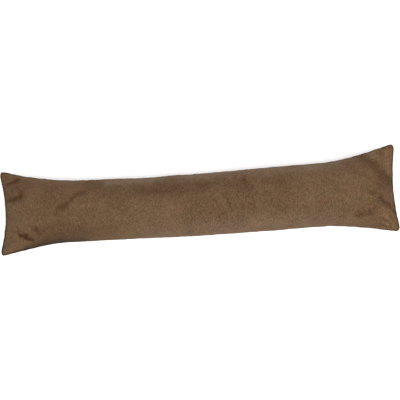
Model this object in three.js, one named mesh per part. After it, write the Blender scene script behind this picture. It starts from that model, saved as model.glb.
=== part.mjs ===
// A draught excluder: a long plush bolster that lies along the foot of a door.
// It is two equal panels sewn together round the edge, turned right side out and
// stuffed, so it is round in the body, drawn in along its sides and ends, and
// runs out into four flat pointed corners. It lies on its back panel.
// Millimetres: +X along the length, +Y across, +Z up out of the face. The origin
// is on the floor, under the middle of the outline.

import * as THREE from "three";
import { mergeGeometries, mergeVertices } from "three/addons/utils/BufferGeometryUtils.js";

// Outline
const bodyHalfWidth = 69; // at mid-length
const bodyWidening = 0.0055; // more half-width for each millimetre towards the right end
const bowDepth = 7.5; // how far the middle line bows to the front at mid-length
const bowRise = 3.5; // how much of that bow is gone once past bowReach
const bowReach = 250;
const cornerRounding = 7.5; // how far a tip falls short of the sharp corner
const cornerRoundingReach = 15;
const endBow = { left: 16.8, right: 11.8 }; // how far each end is drawn in between its corners
const endBowReach = 90; // how far into the body that shape carries

// Thickness
const seamHeight = 50; // the side seams above the floor
const crown = 61; // the face above the side seams
const belly = 58; // how far the back would hang below them with no floor there
const endRise = 40; // length over which the body swells from an end seam
const sideRoundness = 0.5; // 0.5 is an ellipse
const endSharpness = 0.35; // added to it at the end seams, where the panels meet in an edge
const endSharpReach = 80;
const floorSoftness = 5; // how gently the back turns up off the floor

// One row for each corner: the end and side it is on, where its sharp tip would be, how far the
// edge flares out to it, over what length and how suddenly, and how far the tip hangs down.
const corners = [
  { end: -1, side: 1, tipX: 444.3, flare: 38, reach: 230, power: 2.17, droop: 9 },
  { end: -1, side: -1, tipX: 456, flare: 25.7, reach: 172, power: 1.75, droop: 16 },
  { end: 1, side: 1, tipX: 452, flare: 36, reach: 180, power: 1.74, droop: 5 },
  { end: 1, side: -1, tipX: 455.3, flare: 24.8, reach: 162, power: 1.4, droop: 12 },
];
const droopReach = 150;

// Places where a long edge stands further out or in than the rest.
const edgeSwells = [
  { side: 1, x: -118, reach: 45, out: -2.2 },
  { side: -1, x: -335, reach: 35, out: -1.2 },
  { side: -1, x: 165, reach: 65, out: 1.1 },
];

// Where the stuffing makes the face stand higher or lower, as broad round swellings.
const lumps = [
  { x: -330, y: -20, radius: 70, height: 2.5 },
  { x: -215, y: 15, radius: 80, height: -2 },
  { x: -120, y: -25, radius: 75, height: 2 },
  { x: -20, y: 20, radius: 90, height: -1.5 },
  { x: 90, y: -15, radius: 80, height: 2.5 },
  { x: 205, y: 20, radius: 85, height: -1.5 },
  { x: 300, y: 0, radius: 75, height: 2.5 },
  { x: 385, y: 45, radius: 45, height: -2.5 },
];

// The creases that show in the face, each a soft trough between two points.
const creases = [
  { name: "left back corner", from: [-419, 72], to: [-392, 77], width: 7, depth: 3 },
  { name: "left end", from: [-420, 29], to: [-392, 34], width: 8, depth: 4 },
  { name: "left end, turning up", from: [-392, 34], to: [-390, 49], width: 8, depth: 2.5 },
  { name: "left body", from: [-309, 1], to: [-252, 37], width: 13, depth: 2.5 },
  { name: "left front corner, inner", from: [-404, -32], to: [-399, -50], width: 7, depth: 2 },
  { name: "left front corner", from: [-399, -51], to: [-379, -51], width: 8, depth: 3.5 },
  { name: "left front corner, outer", from: [-365, -35], to: [-356, -45], width: 8, depth: 2 },
  { name: "right of the middle", from: [104, 47], to: [110, 23], width: 9, depth: 1.5 },
  { name: "right back corner", from: [377, 76], to: [431, 9], width: 13, depth: 4 },
  { name: "right end, dimple", from: [385, -8], to: [391, -8], width: 8, depth: 1.5 },
  { name: "right end", from: [406, -17], to: [412, -32], width: 7, depth: 2.5 },
  { name: "right end, outer", from: [417, -29], to: [431, -44], width: 6, depth: 2.5 },
  { name: "right front corner", from: [344, -55], to: [392, -48], width: 11, depth: 3 },
];

// How the two panels are divided into flat pieces
const lengthSteps = 96;
const widthSteps = 26;
const endCrowding = 0.6; // 0 spaces the steps evenly, 1 crowds them to the ends
const endEvening = 12; // how late towards the ends the steps across become even

const material = new THREE.MeshStandardMaterial({
  name: "plush",
  color: 0x6e5743,
  roughness: 0.95,
  metalness: 0,
});

const fade = (distance, reach) => Math.exp(-distance / reach);
const spread = (distance, radius) => Math.exp(-((distance / radius) ** 2));

// The middle line of the outline, bowed a little towards the front.
function middleY(x) {
  const away = THREE.MathUtils.smoothstep(Math.abs(x), 0, bowReach);
  return -bowDepth + bowRise * away;
}

// The long edge on one side: the body's straight side, flaring out into its two corners.
function edgeY(side, x) {
  let out = bodyHalfWidth + bodyWidening * x;
  for (const corner of corners.filter((c) => c.side === side)) {
    const toTip = corner.tipX - corner.end * x;
    out += corner.flare * Math.max(0, 1 - toTip / corner.reach) ** corner.power;
  }
  for (const swell of edgeSwells.filter((s) => s.side === side)) {
    out += swell.out * spread(x - swell.x, swell.reach);
  }
  return middleY(x) + side * out;
}

// Where the corner would come to a point.
function sharpTip(corner) {
  const x = corner.end * corner.tipX;
  return new THREE.Vector2(x, edgeY(corner.side, x));
}

const cornerAt = (end, side) => corners.find((c) => c.end === end && c.side === side);

// An end seam at a place across it, from -1 at the front corner to 1 at the back one.
function endX(end, across) {
  const front = cornerAt(end, -1).tipX;
  const back = cornerAt(end, 1).tipX;
  const bow = end < 0 ? endBow.left : endBow.right;
  const chord = THREE.MathUtils.lerp(front, back, (across + 1) / 2);
  return end * (chord - bow * (1 - across * across));
}

// A station from -1 to 1 along the length, as a place between the two end seams.
function lengthwise(station, across) {
  const left = endX(-1, across);
  const right = endX(1, across);
  const leftMean = (-cornerAt(-1, 1).tipX - cornerAt(-1, -1).tipX) / 2;
  const rightMean = (cornerAt(1, 1).tipX + cornerAt(1, -1).tipX) / 2;
  const x = THREE.MathUtils.mapLinear(station, -1, 1, leftMean, rightMean);
  return (
    x +
    (left - leftMean) * fade(x - leftMean, endBowReach) +
    (right - rightMean) * fade(rightMean - x, endBowReach)
  );
}

// How far a place is from the nearer end seam, measured along the length.
function fromEnd(x, across) {
  return Math.max(0, Math.min(x - endX(-1, across), endX(1, across) - x));
}

// Draws the four tips in, so that they are round and not sharp.
function roundCorners(point) {
  for (const corner of corners) {
    const away = sharpTip(corner).distanceTo(point);
    const inwards = new THREE.Vector2(-corner.end, -corner.side).normalize();
    const pull = cornerRounding * Math.max(0, 1 - away / cornerRoundingReach) ** 2;
    point.addScaledVector(inwards, pull);
  }
}

// Height of the seam line, or of the plane between the two panels inside it.
function seamZ(x, y) {
  let z = seamHeight;
  for (const corner of corners) {
    const away = sharpTip(corner).distanceTo(new THREE.Vector2(x, y));
    z -= corner.droop * Math.max(0, 1 - away / droopReach) ** 2;
  }
  return z;
}

// How full the body is at a place, from 0 at the seams to 1 along the middle.
function fullness(x, across) {
  const toEnd = fromEnd(x, across);
  const roundness = sideRoundness + endSharpness * fade(toEnd, endSharpReach);
  return (1 - fade(toEnd, endRise)) * Math.max(0, 1 - across * across) ** roundness;
}

function distanceToSegment(x, y, [x1, y1], [x2, y2]) {
  const line = new THREE.Line3(new THREE.Vector3(x1, y1, 0), new THREE.Vector3(x2, y2, 0));
  const place = new THREE.Vector3(x, y, 0);
  return line.closestPointToPoint(place, true, new THREE.Vector3()).distanceTo(place);
}

// What the stuffing and the creases add to the face.
function unevenness(x, y) {
  let z = 0;
  for (const lump of lumps) {
    z += lump.height * spread(Math.hypot(x - lump.x, y - lump.y), lump.radius);
  }
  for (const crease of creases) {
    z -= crease.depth * spread(distanceToSegment(x, y, crease.from, crease.to), crease.width);
  }
  return z;
}

// The floor flattens the back, with a soft turn where it lifts off.
function restOnFloor(z) {
  if (z <= -floorSoftness) return 0;
  if (z >= floorSoftness) return z;
  return (z + floorSoftness) ** 2 / (4 * floorSoftness);
}

// One panel as a flat sheet, moved to where the stuffing holds it.
function panel(isFace) {
  const sheet = new THREE.PlaneGeometry(2, 2, lengthSteps, widthSteps);
  const position = sheet.getAttribute("position");
  for (let i = 0; i < position.count; i++) {
    const even = position.getX(i);
    const crowded = Math.sin((even * Math.PI) / 2);
    const station = THREE.MathUtils.lerp(even, crowded, endCrowding);
    // Steps of equal turn round the body, and of equal length along the end seams.
    const turn = Math.sin((position.getY(i) * Math.PI) / 2);
    const nearEnd = Math.abs(station) ** endEvening;
    const across = THREE.MathUtils.lerp(turn, position.getY(i), nearEnd);

    const x = lengthwise(station, across);
    const y = THREE.MathUtils.lerp(middleY(x), edgeY(Math.sign(across) || 1, x), Math.abs(across));
    const full = fullness(x, across);
    const seam = seamZ(x, y);
    const z = isFace
      ? seam + full * crown + Math.min(1, 2 * full) * unevenness(x, y)
      : restOnFloor(seam - full * belly);
    const outline = new THREE.Vector2(x, y);
    roundCorners(outline);
    position.setXYZ(i, outline.x, outline.y, z);
  }
  sheet.deleteAttribute("normal");
  sheet.deleteAttribute("uv");
  if (!isFace) sheet.index.array.reverse();
  return sheet;
}

// Both panels, sewn into one closed form and centred over the origin.
function stuffedCover() {
  const sewn = mergeVertices(mergeGeometries([panel(true), panel(false)]), 1e-3);
  sewn.computeBoundingBox();
  const middle = sewn.boundingBox.getCenter(new THREE.Vector3());
  sewn.translate(-middle.x, -middle.y, 0);
  sewn.computeVertexNormals();
  return sewn;
}

const bolster = new THREE.Mesh(stuffedCover(), material);
bolster.name = "bolster";

const draughtExcluder = new THREE.Group();
draughtExcluder.name = "draught_excluder";
draughtExcluder.add(bolster);

export default draughtExcluder;
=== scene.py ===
# Draught excluder: a long bolster in brown short-pile plush, lying on its back panel.
import math

import bmesh
import bpy
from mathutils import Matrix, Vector, noise
from mathutils.bvhtree import BVHTree


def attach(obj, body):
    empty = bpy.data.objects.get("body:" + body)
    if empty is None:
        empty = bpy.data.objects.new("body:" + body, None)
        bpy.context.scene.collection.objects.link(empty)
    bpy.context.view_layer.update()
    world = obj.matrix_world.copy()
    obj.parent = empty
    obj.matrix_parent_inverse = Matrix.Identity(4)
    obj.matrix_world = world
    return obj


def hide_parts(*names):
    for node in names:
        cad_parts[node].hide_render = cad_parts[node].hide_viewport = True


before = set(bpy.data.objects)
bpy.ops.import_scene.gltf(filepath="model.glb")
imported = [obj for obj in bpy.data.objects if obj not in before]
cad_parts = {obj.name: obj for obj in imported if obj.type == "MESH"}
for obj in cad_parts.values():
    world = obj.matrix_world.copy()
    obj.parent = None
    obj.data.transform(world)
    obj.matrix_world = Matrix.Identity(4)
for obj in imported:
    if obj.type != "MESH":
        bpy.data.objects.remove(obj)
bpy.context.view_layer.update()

scene = bpy.context.scene


# Small helpers

samePlace = 1e-5        # points nearer to each other than this are one point


def mix(a, b, t):
    return a + (b - a) * t


def spread(distance, radius):
    return math.exp(-(distance / radius) ** 2)


def distanceToLine(x, y, start, end):
    # how far a place is from a stroke between two points, seen from above
    dx, dy = end[0] - start[0], end[1] - start[1]
    along = ((x - start[0]) * dx + (y - start[1]) * dy) / (dx * dx + dy * dy)
    along = min(1, max(0, along))
    return math.hypot(x - start[0] - along * dx, y - start[1] - along * dy)


def meshObject(name, mesh):
    obj = bpy.data.objects.new(name, mesh)
    scene.collection.objects.link(obj)
    return obj


# The cover: two flat panels, sewn round the edge

cover = {
    "length": 0.914,        # of each flat panel, seam to seam
    "width": 0.200,
    "lengthCells": 180,
    "widthCells": 40,
    "endEvening": 12,       # how late towards the ends the cells across become even
    "bowFalloff": 9,        # how soon the bow of an end seam dies out inside
    "looseFromEnd": 0.09,   # how far in from the ends the cloth is loose
    "looseFromSide": 0.03,  # and from the long seams, where the stitching gathers it
    "sideShare": 0.4,       # how loose it is there, beside the ends
    "rimSteps": 200,        # stretches that each side of the seam is measured in
    "leastTilt": 1e-4,      # how much a face has to look up or down to count as doing so
    "cornerWeight": 2,      # how much Y counts against X in finding the outline's corners
}


def seamSides(solid):
    # The seam is where the faces that look up meet those that look down. It comes back
    # as four lines of points, split at the corners of the outline.
    bm = bmesh.new()
    bm.from_mesh(solid.data)
    bmesh.ops.remove_doubles(bm, verts=bm.verts, dist=samePlace)
    bmesh.ops.recalc_face_normals(bm, faces=bm.faces)
    edges = {}
    for edge in bm.edges:
        ups = [face.normal.z for face in edge.link_faces]
        if len(ups) == 2 and min(ups) < -cover["leastTilt"] and max(ups) > cover["leastTilt"]:
            for vert in edge.verts:
                edges.setdefault(vert, []).append(edge)
    start = min(edges, key=lambda v: v.co.x + cover["cornerWeight"] * v.co.y)
    loop = [start]
    edge = edges[start][0]
    while True:
        vert = edge.other_vert(loop[-1])
        if vert is start:
            break
        loop.append(vert)
        edge = next(e for e in edges[vert] if e is not edge)
    points = [v.co.copy() for v in loop]
    bm.free()
    if sum(a.x * b.y - b.x * a.y for a, b in zip(points, points[1:] + points[:1])) < 0:
        points.reverse()    # so that it runs anticlockwise, seen from above

    def corner(right, back):
        weight = cover["cornerWeight"] * back
        return max(range(len(points)), key=lambda i: right * points[i].x + weight * points[i].y)

    def stretch(first, last):
        # the points from one corner round to another
        line = []
        i = first
        while True:
            line.append(points[i])
            if i == last:
                return line
            i = (i + 1) % len(points)

    leftFront, rightFront = corner(-1, -1), corner(1, -1)
    rightBack, leftBack = corner(1, 1), corner(-1, 1)
    return {
        "front": stretch(leftFront, rightFront),
        "right": stretch(rightFront, rightBack),
        "back": stretch(rightBack, leftBack)[::-1],
        "left": stretch(leftBack, leftFront)[::-1],
    }


def alongLine(line, share):
    # the point at a share of a line's length
    lengths = [(b - a).length for a, b in zip(line, line[1:])]
    wanted = share * sum(lengths)
    for a, b, length in zip(line, line[1:], lengths):
        if wanted <= length:
            return a.lerp(b, wanted / length)
        wanted -= length
    return line[-1].copy()


def flatPanels():
    # Two grids in one bmesh: the face at z = 1, the back at z = -1, their rims together at 0.
    bm = bmesh.new()
    for side in (1, -1):
        made = bmesh.ops.create_grid(
            bm, x_segments=cover["lengthCells"], y_segments=cover["widthCells"], size=1)
        inner = [v for v in made["verts"] if max(abs(v.co.x), abs(v.co.y)) < 1 - samePlace]
        bmesh.ops.translate(bm, verts=inner, vec=(0, 0, side))
        if side < 0:
            faces = {f for v in made["verts"] for f in v.link_faces}
            bmesh.ops.reverse_faces(bm, faces=list(faces))
    bmesh.ops.remove_doubles(bm, verts=bm.verts, dist=samePlace)
    return bm


def sewCover(solid):
    # Each point of the panels goes to its place on the stuffed form, and keeps its place on
    # the flat panel as two attributes.
    steps = cover["rimSteps"]
    sides = seamSides(solid)
    form = BVHTree.FromObject(solid, bpy.context.evaluated_depsgraph_get())
    rim = {name: [alongLine(sides[name], i / steps) for i in range(steps + 1)] for name in sides}

    def between(name, share):
        place = share * steps
        i = min(steps - 1, int(place))
        return rim[name][i].lerp(rim[name][i + 1], place - i)

    def bow(name, share):
        # how far an end seam stands off the straight line between its corners
        return between(name, share) - rim[name][0].lerp(rim[name][-1], share)

    bm = flatPanels()
    flat = []
    stuffed = []
    for vert in bm.verts:
        u, v, side = vert.co        # -1 to 1 along and across, and above or below the seam
        flat.append(Vector((u * cover["length"] / 2, v * cover["width"] / 2, 0)))
        s = (u + 1) / 2
        nearEnd = abs(u) ** cover["endEvening"]
        t = (mix(math.sin(v * math.pi / 2), v, nearEnd) + 1) / 2
        place = between("front", s).lerp(between("back", s), t)
        place += bow("left", t) * (1 - s) ** cover["bowFalloff"]
        place += bow("right", t) * s ** cover["bowFalloff"]
        if side:
            hit = form.ray_cast(Vector((place.x, place.y, side)), Vector((0, 0, -side)))[0]
            place = hit or form.find_nearest(place)[0]
        stuffed.append(place)
    for vert, place in zip(bm.verts, stuffed):
        vert.co = place
    mesh = bpy.data.meshes.new("bolsterCover")
    bm.to_mesh(mesh)
    bm.free()
    obj = meshObject("bolsterCover", mesh)

    for name, axis in (("flatX", 0), ("flatY", 1)):
        mesh.attributes.new(name, "FLOAT", "POINT")
        mesh.attributes[name].data.foreach_set("value", [place[axis] for place in flat])
    halfLength = cover["length"] / 2
    halfWidth = cover["width"] / 2
    stitched = {i for i, place in enumerate(flat)
                if halfLength - abs(place.x) < samePlace or halfWidth - abs(place.y) < samePlace}
    pinned = obj.vertex_groups.new(name="seam")
    pinned.add(list(stitched), 1, "REPLACE")
    mesh.attributes.new("crease_edge", "FLOAT", "EDGE")     # the subdivision keeps this edge sharp
    mesh.attributes["crease_edge"].data.foreach_set(
        "value", [float(stitched.issuperset(edge.vertices)) for edge in mesh.edges])
    # spare cloth gathers where the body runs out into its ends
    spare = obj.vertex_groups.new(name="spare")
    for i, place in enumerate(flat):
        atEnd = spread(halfLength - abs(place.x), cover["looseFromEnd"])
        atSide = spread(halfWidth - abs(place.y), cover["looseFromSide"]) * cover["sideShare"]
        spare.add([i], max(atEnd, atSide), "REPLACE")
    return obj


# The stuffing

stuffing = {
    "pressure": 7,
    "frames": 20,
    "furthest": 0.011,      # how far a point may move from the stuffed form
    "stretch": 40,
    "shear": 10,
    "bending": 8,           # plush is thick, so it folds broadly
    "quality": 6,
    "mass": 0.01,
    "damping": 3,
    "bendingDamping": 0.5,
    "airDamping": 2,
    "spareInBody": 0.004,   # how much larger the cloth is than the form, as a share
    "spareAtEnds": 0.075,
}


def simulate(obj):
    before = [v.co.copy() for v in obj.data.vertices]
    cloth = obj.modifiers.new("stuffing", "CLOTH")
    settings = cloth.settings
    settings.quality = stuffing["quality"]
    settings.mass = stuffing["mass"]
    settings.tension_stiffness = settings.compression_stiffness = stuffing["stretch"]
    settings.shear_stiffness = stuffing["shear"]
    settings.bending_stiffness = stuffing["bending"]
    settings.tension_damping = settings.compression_damping = stuffing["damping"]
    settings.shear_damping = stuffing["damping"]
    settings.bending_damping = stuffing["bendingDamping"]
    settings.air_damping = stuffing["airDamping"]
    settings.use_pressure = True
    settings.uniform_pressure_force = stuffing["pressure"]
    settings.vertex_group_mass = "seam"         # the stitching stays where it is
    settings.vertex_group_shrink = "spare"
    settings.shrink_min = -stuffing["spareInBody"]
    settings.shrink_max = -stuffing["spareAtEnds"]
    settings.effector_weights.gravity = 0
    cloth.collision_settings.use_collision = False
    cloth.collision_settings.use_self_collision = False
    cloth.point_cache.frame_start = 1
    cloth.point_cache.frame_end = stuffing["frames"]
    for number in range(1, stuffing["frames"] + 1):
        scene.frame_set(number)
    evaluated = obj.evaluated_get(bpy.context.evaluated_depsgraph_get())
    after = [v.co.copy() for v in evaluated.data.vertices]
    obj.modifiers.remove(cloth)
    scene.frame_set(1)
    moved = []
    for vert, start, end in zip(obj.data.vertices, before, after):
        step = end - start
        moved.append(step.length)
        if step.length > stuffing["furthest"]:
            step *= stuffing["furthest"] / step.length
        vert.co = start + step
        vert.co.z = max(0, vert.co.z)
    print("stuffed: moved mean", sum(moved) / len(moved), "max", max(moved))


# The seam and the small unevenness of the cloth, on a finer mesh

seam = {
    "loops": 2,             # extra rows of points beside the stitching
    "grow": 0.0004,         # the pile's own thickness outside the stitching
    "growAtCorners": 0.0006,
    "growReach": 0.03,      # how far from a corner it is thicker
    "sunk": 0.0010,         # how deep the stitching pulls the edge in
    "lip": 0.0012,          # how far the pile stands up on both sides of it
    "lipStart": 0.0012,
    "lipEnd": 0.007,
    "puckerPitch": 0.012,
    "puckerDepth": 0.0008,
    "puckerReach": 0.011,
    "puckerInBody": 0.7,    # share of that depth, and what the corners add to it
    "puckerMoreAtCorners": 0.5,
    "puckerCornerReach": 0.13,
    "puckerRowsApart": 7.3,     # in the noise, so that no two rows are alike
}
ripple = {"size": 0.028, "height": 0.0006, "smallSize": 0.008, "smallHeight": 0.00022}


def fineMesh(obj):
    # one subdivision, then extra rows of points along the stitching
    finer = obj.modifiers.new("finer", "SUBSURF")
    finer.levels = finer.render_levels = 1
    evaluated = obj.evaluated_get(bpy.context.evaluated_depsgraph_get())
    mesh = bpy.data.meshes.new_from_object(evaluated)
    obj.modifiers.remove(finer)
    obj.data = mesh
    bm = bmesh.new()
    bm.from_mesh(mesh)
    toSeam = {vert: min(seamDistances(bm, vert)) for vert in bm.verts}
    stitched = {vert for vert in bm.verts if toSeam[vert] < samePlace}
    across = [e for e in bm.edges if (e.verts[0] in stitched) != (e.verts[1] in stitched)]
    bmesh.ops.subdivide_edges(bm, edges=across, cuts=seam["loops"], use_grid_fill=True)
    bm.to_mesh(mesh)
    bm.free()


def seamDistances(bm, vert):
    # how far a point is from the nearer end seam and the nearer long seam, along the cloth
    flatX = bm.verts.layers.float["flatX"]
    flatY = bm.verts.layers.float["flatY"]
    toEnd = max(0, cover["length"] / 2 - abs(vert[flatX]))
    toSide = max(0, cover["width"] / 2 - abs(vert[flatY]))
    return toEnd, toSide


def puckerAt(flat, toEnd, toSide):
    # the gathering beside the stitching, as dents at uneven distances along it
    along = flat[1] if toEnd < toSide else flat[0]
    row = (1 if toEnd < toSide else 3) + (flat[0] > 0) + 2 * (flat[1] > 0)
    dent = noise.noise(Vector((along / seam["puckerPitch"], row * seam["puckerRowsApart"], 0)))
    nearCorner = spread(math.hypot(toEnd, toSide), seam["puckerCornerReach"])
    depth = seam["puckerDepth"] * (seam["puckerInBody"] + seam["puckerMoreAtCorners"] * nearCorner)
    return dent * depth * math.exp(-min(toEnd, toSide) / seam["puckerReach"])


def finishCloth(obj):
    fineMesh(obj)
    bm = bmesh.new()
    bm.from_mesh(obj.data)
    bm.normal_update()
    flatX = bm.verts.layers.float["flatX"]
    flatY = bm.verts.layers.float["flatY"]
    moves = []
    for vert in bm.verts:
        toEnd, toSide = seamDistances(bm, vert)
        toSeam = min(toEnd, toSide)
        place = vert.co
        out = puckerAt((vert[flatX], vert[flatY]), toEnd, toSide)
        out += ripple["height"] * noise.noise(place / ripple["size"])
        out += ripple["smallHeight"] * noise.noise(place / ripple["smallSize"])
        out += seam["lip"] * (1 - math.exp(-toSeam / seam["lipStart"])) * math.exp(-toSeam / seam["lipEnd"])
        nearCorner = spread(math.hypot(toEnd, toSide), seam["growReach"])
        grow = mix(seam["grow"], seam["growAtCorners"], nearCorner)
        out += grow * math.exp(-toSeam / seam["puckerReach"])
        if toSeam < samePlace:
            out -= seam["sunk"]
        moves.append(vert.normal * out)
    for vert, move in zip(bm.verts, moves):
        vert.co += move
        vert.co.z = max(0, vert.co.z)
    bm.to_mesh(obj.data)
    bm.free()
    for polygon in obj.data.polygons:
        polygon.use_smooth = True
    print("finished cloth:", len(obj.data.vertices), "points")


# Where the nap has been brushed another way, with some painted shade and highlights among them: name, from,
# to, half width, tone (below 0 is darker)

napAndPaintedLightMarks = [
    ("left back corner", (-0.424, 0.066), (-0.396, 0.075), 0.0042, -0.66),
    ("left back, second", (-0.414, 0.055), (-0.398, 0.056), 0.004, -0.20),
    ("left back, inner", (-0.436, 0.052), (-0.428, 0.066), 0.003, -0.25),
    ("left end", (-0.420, 0.0295), (-0.410, 0.031), 0.0055, -0.62),
    ("left end, inner", (-0.402, 0.033), (-0.393, 0.033), 0.0050, -0.58),
    ("left end, up", (-0.391, 0.036), (-0.390, 0.048), 0.004, -0.30),
    ("left body", (-0.309, 0.001), (-0.285, 0.014), 0.0065, -0.50),
    ("left body, upper", (-0.276, 0.025), (-0.250, 0.037), 0.0065, -0.50),
    ("left body, lighter side", (-0.280, 0.000), (-0.235, 0.026), 0.012, 0.12),
    ("left front, inner", (-0.404, -0.0325), (-0.402, -0.042), 0.0035, -0.45),
    ("left front, middle", (-0.399, -0.050), (-0.383, -0.050), 0.0046, -0.85),
    ("left front, below", (-0.388, -0.056), (-0.370, -0.064), 0.0042, -0.72),
    ("left front, outer", (-0.364, -0.036), (-0.356, -0.045), 0.0048, -0.55),
    ("middle, left band", (-0.135, 0.030), (-0.034, 0.0235), 0.009, -0.20),
    ("middle patch", (0.009, 0.033), (0.033, 0.033), 0.008, -0.16),
    ("middle stroke", (0.104, 0.047), (0.110, 0.023), 0.005, -0.24),
    ("middle, thin stroke", (0.067, -0.006), (0.075, -0.026), 0.0028, -0.35),
    ("middle, greyer patch", (0.040, -0.020), (0.052, -0.048), 0.010, -0.14),
    ("right of the middle", (0.148, 0.032), (0.182, 0.032), 0.007, -0.20),
    # the right fold: painted shade in the fold, painted highlight on its light side and on the ridge
    ("right fold", (0.372, 0.0780), (0.428, 0.015), 0.015, -0.46),
    ("right of the fold", (0.345, 0.050), (0.368, 0.020), 0.012, -0.16),
    ("right fold, light side", (0.400, 0.0800), (0.434, 0.034), 0.007, 0.28),
    ("right ridge", (0.4255, 0.082), (0.431, 0.037), 0.005, 0.34),
    ("right dimple", (0.386, -0.007), (0.391, -0.007), 0.005, -0.40),
    ("right dimple, outer", (0.402, 0.0085), (0.406, 0.0085), 0.005, -0.34),
    ("right end stroke", (0.406, -0.018), (0.411, -0.032), 0.0045, -0.60),
    ("right end, light stroke", (0.414, -0.012), (0.420, -0.028), 0.004, 0.28),
    ("right end stroke, outer", (0.418, -0.030), (0.4305, -0.043), 0.0045, -0.60),
    ("right end, edge", (0.432, -0.056), (0.438, -0.053), 0.004, -0.40),
    ("right front patch", (0.346, -0.055), (0.386, -0.050), 0.0070, -0.16),
    ("right front, below", (0.340, -0.062), (0.372, -0.066), 0.005, 0.10),
    # painted shade on the left front flank, which turns away from the light
    ("left front half", (-0.360, -0.050), (-0.180, -0.050), 0.022, -0.14),
    # painted shade: the back half darker, as the light falls from the front
    ("back half band", (-0.218, 0.040), (0.007, 0.030), 0.018, -0.10),
    # painted shade under the left back fold
    ("left back, under the fold", (-0.387, 0.044), (-0.374, 0.060), 0.011, -0.20),
    ("right front corner", (0.404, -0.042), (0.436, -0.074), 0.018, 0.22),
]

# Short touches of pressed pile, in three loose rows, that make up the right front patch
touches = {
    "number": 18,
    "from": (0.343, -0.056),
    "to": (0.392, -0.047),
    "rowStep": 0.0044,
    "strayX": 0.0022,       # how far each touch strays from its row
    "strayY": 0.0012,
    "strayTurnX": 2.4,      # radians from one touch to the next
    "strayTurnY": 4.1,
    "strokeFrom": (-0.0012, -0.0008),
    "strokeTo": (0.0012, 0.0012),
    "halfWidth": 0.0018,
    "tones": (-0.32, -0.55),
}
for number in range(touches["number"]):
    along = number / (touches["number"] - 1)
    touchX = mix(touches["from"][0], touches["to"][0], along)
    touchX += touches["strayX"] * math.sin(touches["strayTurnX"] * number)
    touchY = mix(touches["from"][1], touches["to"][1], along) + touches["rowStep"] * (number % 3 - 1)
    touchY += touches["strayY"] * math.sin(touches["strayTurnY"] * number)
    napAndPaintedLightMarks.append((
        "right front patch, touch",
        (touchX + touches["strokeFrom"][0], touchY + touches["strokeFrom"][1]),
        (touchX + touches["strokeTo"][0], touchY + touches["strokeTo"][1]),
        touches["halfWidth"], touches["tones"][number % 2]))

# Painted sheen on the rolled sides, where the pile leans over: name, from, to, half width, strength
paintedSheenSides = [
    ("front, left", (-0.170, -0.064), (-0.120, -0.062), 0.016, 0.14),
    ("front", (-0.110, -0.063), (0.300, -0.058), 0.018, 0.36),
    ("front, right", (0.300, -0.060), (0.335, -0.066), 0.014, 0.22),
    ("back", (-0.200, 0.055), (0.120, 0.058), 0.010, 0.60),
    ("back, right", (0.120, 0.058), (0.290, 0.063), 0.013, 0.48),
    ("right back", (0.290, 0.063), (0.395, 0.080), 0.014, 0.46),
    ("left back", (-0.400, 0.084), (-0.200, 0.068), 0.007, 0.22),
]

# The fine gathers that fan out of the right front corner, painted as highlight and shade in turn
gathers = {
    "number": 9,
    "corner": (0.449, -0.094),
    "firstTurn": 94,        # degrees from the length of the bolster
    "turnStep": 10,
    "inner": 0.014,         # how far from the corner they begin and end
    "outer": 0.050,
    "stagger": 0.004,
    "halfWidth": 0.0022,
    "tones": (0.45, -0.48),
}
for number in range(gathers["number"]):
    turn = math.radians(gathers["firstTurn"] + gathers["turnStep"] * number)
    cornerX, cornerY = gathers["corner"]
    inner = gathers["inner"] + gathers["stagger"] * (number % 3)
    outer = gathers["outer"] - gathers["stagger"] * (number % 4)
    napAndPaintedLightMarks.append((
        "right front gather",
        (cornerX + inner * math.cos(turn), cornerY + inner * math.sin(turn)),
        (cornerX + outer * math.cos(turn), cornerY + outer * math.sin(turn)),
        gathers["halfWidth"], gathers["tones"][number % 2]))

# The dark line in the stitching, where the pile parts, partly painted shade of the rolled edge, with a
# painted shade at the left front; from 0 to 1
seamDarkAndPaintedShade = {
    "width": 0.0018,        # of its darkest part, on each side of the stitching
    "fade": 0.0020,
    "atEnds": 0.86,
    "inBody": 0.65,
    "endReach": 0.26,       # how far the strong line runs in from the ends
    "paintedShadeAt": -0.346,    # painted shade: the left front edge turns under and is painted darkest
    "paintedShadeReach": 0.100,  # to both sides along the cloth
    "paintedShadeEvenness": 4,   # how long it stays dark before it fades along the edge
    "paintedShadeLine": 1.05,
    "paintedShadeWidth": 0.0056,
    "paintedShadeUpTheSide": 0.94,      # the softer painted shade above the stitching there
    "paintedShadeUpReach": 0.035,
    "paintedShadeBelowReach": 0.014,
    "narrowsFrom": 0.11,    # the distance from the end within which that shade narrows
    "narrowest": 0.1,
}

# How the edges of the marks are broken up
napEdge = {
    "seed": 41,             # so that they are the same each time
    "size": 0.014,
    "reach": 0.0065,
    "smallSize": 0.0055,
    "smallReach": 0.0035,
    "fullAt": 0.007,        # marks narrower than this are broken up less
    "lowest": -0.2,         # faces that look further down than this carry no marks
}


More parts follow.
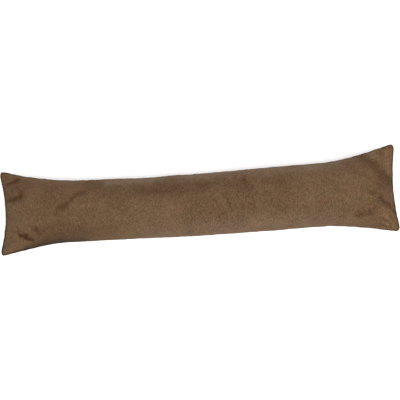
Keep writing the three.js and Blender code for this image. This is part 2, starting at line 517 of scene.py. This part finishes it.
def stitchingAndPaintedShadeAt(flatX, flatY, looksUp):
    # how dark the stitching line is, partly painted shade, and at the left front the painted shade in and
    # above it
    toEnd = cover["length"] / 2 - abs(flatX)
    toSide = cover["width"] / 2 - abs(flatY)
    stitched = mix(seamDarkAndPaintedShade["inBody"], seamDarkAndPaintedShade["atEnds"], spread(toEnd, seamDarkAndPaintedShade["endReach"]))
    # the painted shade where the left front edge turns under
    toPaintedShade = (flatX - seamDarkAndPaintedShade["paintedShadeAt"]) / seamDarkAndPaintedShade["paintedShadeReach"]
    paintedShade = math.exp(-toPaintedShade ** seamDarkAndPaintedShade["paintedShadeEvenness"]) if flatY < 0 else 0
    past = max(0, min(toEnd, toSide) - mix(seamDarkAndPaintedShade["width"], seamDarkAndPaintedShade["paintedShadeWidth"], paintedShade))
    line = mix(stitched, seamDarkAndPaintedShade["paintedShadeLine"], paintedShade) * math.exp(-past / seamDarkAndPaintedShade["fade"])
    reach = seamDarkAndPaintedShade["paintedShadeUpReach"] if looksUp else seamDarkAndPaintedShade["paintedShadeBelowReach"]
    reach *= min(1, max(seamDarkAndPaintedShade["narrowest"], toEnd / seamDarkAndPaintedShade["narrowsFrom"]))
    return max(line, seamDarkAndPaintedShade["paintedShadeUpTheSide"] * paintedShade * spread(toSide, reach))


def napAndPaintedLightAt(place):
    # the tone of the marks at a place, and how strong the painted sheen of the rolled side is there
    jump = noise.noise_vector(place / napEdge["size"]) * napEdge["reach"]
    jump += noise.noise_vector(place / napEdge["smallSize"]) * napEdge["smallReach"]
    tone = 0
    for _, start, end, halfWidth, depth in napAndPaintedLightMarks:
        loose = min(1, halfWidth / napEdge["fullAt"])
        distance = distanceToLine(place.x + jump.x * loose, place.y + jump.y * loose, start, end)
        tone += depth * spread(distance, halfWidth)
    # painted sheen on the rolled sides
    pale = 0
    for _, start, end, halfWidth, strength in paintedSheenSides:
        distance = distanceToLine(place.x + jump.x, place.y + jump.y, start, end)
        pale = max(pale, strength * spread(distance, halfWidth))
    return tone, pale


def brushNapAndPaintLight(obj):
    # the nap marks with their painted shade and highlights, the painted sheen of the sides and the
    # stitching line with its painted shade become three values at each point, which the material reads
    noise.seed_set(napEdge["seed"])
    values = {"napAndPaintedLight": [], "pale": [], "seamDarkAndPaintedShade": []}
    flatX = obj.data.attributes["flatX"].data
    flatY = obj.data.attributes["flatY"].data
    for i, vert in enumerate(obj.data.vertices):
        up = vert.normal.z
        tone, pale = napAndPaintedLightAt(vert.co) if up > napEdge["lowest"] else (0, 0)
        values["napAndPaintedLight"].append(tone)
        values["pale"].append(pale)
        values["seamDarkAndPaintedShade"].append(stitchingAndPaintedShadeAt(flatX[i].value, flatY[i].value, up > 0))
    for name in values:
        obj.data.attributes.new(name, "FLOAT", "POINT")
        obj.data.attributes[name].data.foreach_set("value", values[name])


# The plush

plush = {
    "dark": (0.0430, 0.0208, 0.0078),
    "light": (0.1420, 0.0875, 0.0490),
    "middle": 0.50,         # tone where nothing changes it, from dark to light
    "patchSize": 0.075,     # of the slow change of tone
    "patchTone": 0.7,
    "tuftSize": 0.012,
    "tuftTone": 0.25,
    "pileSize": 0.0028,
    "pileTone": 1.10,
    "hairWidth": 0.0013,    # of the hairs that lie across the bolster
    "hairLength": 0.0052,
    "hairTone": 1.45,
    "warmSize": 0.020,      # of patches where the brown is warmer or cooler
    "warmTone": 2.2,
    "warm": (1.09, 0.94, 0.87),     # colours are multiplied by this where it is warmer
    "cool": (0.95, 1.02, 1.03),
    "pressedAndPaintedShade": (0.32, 0.20, 0.09),      # by this where the nap is pressed flat, and where shade is painted
    "raisedAndPaintedHighlight": (1.72, 1.70, 1.72),       # by this where it stands up, and where highlights are painted
    "paintedSheenTint": (1.55, 1.78, 2.25),        # by this for the painted sheen on the rolled sides
    "partedAndPaintedShade": (0.06, 0.045, 0.035),     # and by this in the stitched groove and its painted shade
    "breakUp": 1.6,         # how unevenly the marks take on the pile
    "bumpStrength": 0.6,
    "bumpHeight": 0.0009,
    "tuftRelief": 0.8,      # how much the tufts and hairs stand out, against the pile
    "hairRelief": 0.8,
    "roughness": 0.92,
    "specular": 0.05,
    "sheen": 0.09,
    "sheenRoughness": 0.32,
    "sheenTint": (0.90, 0.78, 0.64),
}


noiseMiddle = 0.5       # what a noise texture gives on average


def node(tree, kind, **values):
    made = tree.nodes.new(kind)
    for name, value in values.items():
        setattr(made, name, value)
    return made


def noiseNode(tree, place, size, detail, roughness=0.6):
    made = node(tree, "ShaderNodeTexNoise")
    made.inputs["Scale"].default_value = 1 / size
    made.inputs["Detail"].default_value = detail
    made.inputs["Roughness"].default_value = roughness
    tree.links.new(place, made.inputs["Vector"])
    return made.outputs["Fac"]


def maths(tree, operation, a, b):
    made = node(tree, "ShaderNodeMath", operation=operation)
    for socket, value in zip(made.inputs, (a, b)):
        if isinstance(value, (int, float)):
            socket.default_value = value
        else:
            tree.links.new(value, socket)
    return made.outputs[0]


def tinted(tree, colour, amount, tint):
    # the colour, multiplied by a tint as far as the amount says
    made = node(tree, "ShaderNodeMix", data_type="RGBA", blend_type="MULTIPLY")
    tree.links.new(amount, made.inputs["Factor"])
    tree.links.new(colour, made.inputs["A"])
    made.inputs["B"].default_value = (*tint, 1)
    return made.outputs["Result"]


def attribute(tree, name):
    return node(tree, "ShaderNodeAttribute", attribute_name=name).outputs["Fac"]


def plushMaterial():
    material = bpy.data.materials.new("plush")
    material.use_nodes = True
    tree = material.node_tree
    shader = tree.nodes["Principled BSDF"]
    place = node(tree, "ShaderNodeTexCoord").outputs["Object"]

    # the hairs follow the flat panels, so they run over the sides and not through them
    split = node(tree, "ShaderNodeSeparateXYZ")
    tree.links.new(place, split.inputs[0])
    onPanel = node(tree, "ShaderNodeCombineXYZ")
    for axis, source, size in (
            ("X", attribute(tree, "flatX"), "hairWidth"),
            ("Y", attribute(tree, "flatY"), "hairLength"),
            ("Z", split.outputs["Z"], "patchSize")):
        tree.links.new(maths(tree, "DIVIDE", source, plush[size]), onPanel.inputs[axis])
    hairs = noiseNode(tree, onPanel.outputs["Vector"], size=1, detail=3, roughness=0.65)

    patches = noiseNode(tree, place, plush["patchSize"], detail=4)
    tufts = noiseNode(tree, place, plush["tuftSize"], detail=3)
    pile = noiseNode(tree, place, plush["pileSize"], detail=2, roughness=0.7)
    tone = plush["middle"]
    for source, amount in (
            (patches, "patchTone"), (tufts, "tuftTone"), (pile, "pileTone"), (hairs, "hairTone")):
        change = maths(tree, "MULTIPLY", maths(tree, "SUBTRACT", source, noiseMiddle), plush[amount])
        tone = maths(tree, "ADD", tone, change)
    grain = node(tree, "ShaderNodeValToRGB")
    grain.color_ramp.elements[0].position = 0
    grain.color_ramp.elements[0].color = (*plush["dark"], 1)
    grain.color_ramp.elements[1].position = 1
    grain.color_ramp.elements[1].color = (*plush["light"], 1)
    tree.links.new(tone, grain.inputs["Fac"])

    warmth = noiseNode(tree, place, plush["warmSize"], detail=3)
    warmth = maths(tree, "MULTIPLY", maths(tree, "SUBTRACT", warmth, noiseMiddle), plush["warmTone"])
    colour = tinted(tree, grain.outputs["Color"], warmth, plush["warm"])
    colour = tinted(tree, colour, maths(tree, "MULTIPLY", warmth, -1), plush["cool"])

    # the pile breaks up the brushed marks, but not the painted sheen of the sides or the stitching
    uneven = maths(tree, "SUBTRACT", maths(tree, "ADD", pile, tufts), 2 * noiseMiddle)
    uneven = maths(tree, "ADD", maths(tree, "MULTIPLY", uneven, plush["breakUp"]), 1)
    napAndPaintedLight = maths(tree, "MULTIPLY", attribute(tree, "napAndPaintedLight"), uneven)
    # painted sheen: the rolled sides made paler and greyer
    colour = tinted(tree, colour, attribute(tree, "pale"), plush["paintedSheenTint"])
    # pressed and raised nap, together with the painted shade and highlights
    colour = tinted(tree, colour, maths(tree, "MULTIPLY", napAndPaintedLight, -1), plush["pressedAndPaintedShade"])
    colour = tinted(tree, colour, napAndPaintedLight, plush["raisedAndPaintedHighlight"])
    # the stitching line, partly painted shade, and the painted shade at the left front edge
    colour = tinted(tree, colour, attribute(tree, "seamDarkAndPaintedShade"), plush["partedAndPaintedShade"])
    tree.links.new(colour, shader.inputs["Base Color"])

    bump = node(tree, "ShaderNodeBump")
    bump.inputs["Strength"].default_value = plush["bumpStrength"]
    bump.inputs["Distance"].default_value = plush["bumpHeight"]
    relief = maths(tree, "ADD", pile, maths(tree, "MULTIPLY", tufts, plush["tuftRelief"]))
    relief = maths(tree, "ADD", relief, maths(tree, "MULTIPLY", hairs, plush["hairRelief"]))
    tree.links.new(relief, bump.inputs["Height"])
    tree.links.new(bump.outputs["Normal"], shader.inputs["Normal"])

    shader.inputs["Roughness"].default_value = plush["roughness"]
    shader.inputs["Specular IOR Level"].default_value = plush["specular"]
    shader.inputs["Sheen Weight"].default_value = plush["sheen"]
    shader.inputs["Sheen Roughness"].default_value = plush["sheenRoughness"]
    shader.inputs["Sheen Tint"].default_value = (*plush["sheenTint"], 1)
    return material


print("cover: sewing two panels")
bolster = sewCover(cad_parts["bolster"])
print("stuffing: pressure simulation")
simulate(bolster)
finishCloth(bolster)
bolster.name = "plushBolster"


# Floor, light and camera

studio = {
    "floorSize": 40,
    "floorTone": 0.95,
    "floorRoughness": 0.9,
    "floorGlow": 0.10,          # keeps the shadow on the white floor faint
    "seamHeight": 0.05,         # of the bolster's side seams above the floor
    "sensorWidth": 36,
    "cameraHeight": 2.5,        # above the seam
    "pictureWidth": 0.9,        # how much of the seam plane the picture shows across
    "tilt": 3.9,                # how far the bolster is turned in the picture
    "aim": (0.0055, 0.0020),
    "worldLight": 0.90,
    "keyPlace": (0.5, -0.6, 2.8),
    "keySize": 3.2,
    "keyPower": 100,
}


def makeStage():
    bm = bmesh.new()
    bmesh.ops.create_grid(bm, x_segments=1, y_segments=1, size=studio["floorSize"] / 2)
    mesh = bpy.data.meshes.new("floor")
    bm.to_mesh(mesh)
    bm.free()
    floor = meshObject("floor", mesh)
    pale = bpy.data.materials.new("paleFloor")
    pale.use_nodes = True
    shader = pale.node_tree.nodes["Principled BSDF"]
    shader.inputs["Base Color"].default_value = (*[studio["floorTone"]] * 3, 1)
    shader.inputs["Roughness"].default_value = studio["floorRoughness"]
    shader.inputs["Emission Color"].default_value = (1, 1, 1, 1)
    shader.inputs["Emission Strength"].default_value = studio["floorGlow"]
    mesh.materials.append(pale)

    world = bpy.data.worlds.new("studio")
    scene.world = world
    world.use_nodes = True
    world.node_tree.nodes["Background"].inputs["Color"].default_value = (1, 1, 1, 1)
    world.node_tree.nodes["Background"].inputs["Strength"].default_value = studio["worldLight"]


def makeLight(name, place, size, power):
    light = bpy.data.lights.new(name, "AREA")
    light.shape = "DISK"
    light.size = size
    light.energy = power
    obj = bpy.data.objects.new(name, light)
    obj.location = place
    obj.rotation_euler = (-Vector(place)).to_track_quat("-Z", "Y").to_euler()
    scene.collection.objects.link(obj)


def makeCamera():
    camera = bpy.data.cameras.new("camera")
    camera.sensor_width = studio["sensorWidth"]
    camera.lens = camera.sensor_width * studio["cameraHeight"] / studio["pictureWidth"]
    obj = bpy.data.objects.new("camera", camera)
    obj.location = (*studio["aim"], studio["seamHeight"] + studio["cameraHeight"])
    obj.rotation_euler = (0, 0, -math.radians(studio["tilt"]))
    scene.collection.objects.link(obj)
    scene.camera = obj


print("plush: nap and material")
brushNapAndPaintLight(bolster)
bolster.data.materials.append(plushMaterial())
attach(bolster, "root")
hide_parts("bolster")

print("studio: floor, light and camera")
makeStage()
makeLight("key", studio["keyPlace"], studio["keySize"], studio["keyPower"])
makeCamera()
scene.view_settings.view_transform = "Standard"
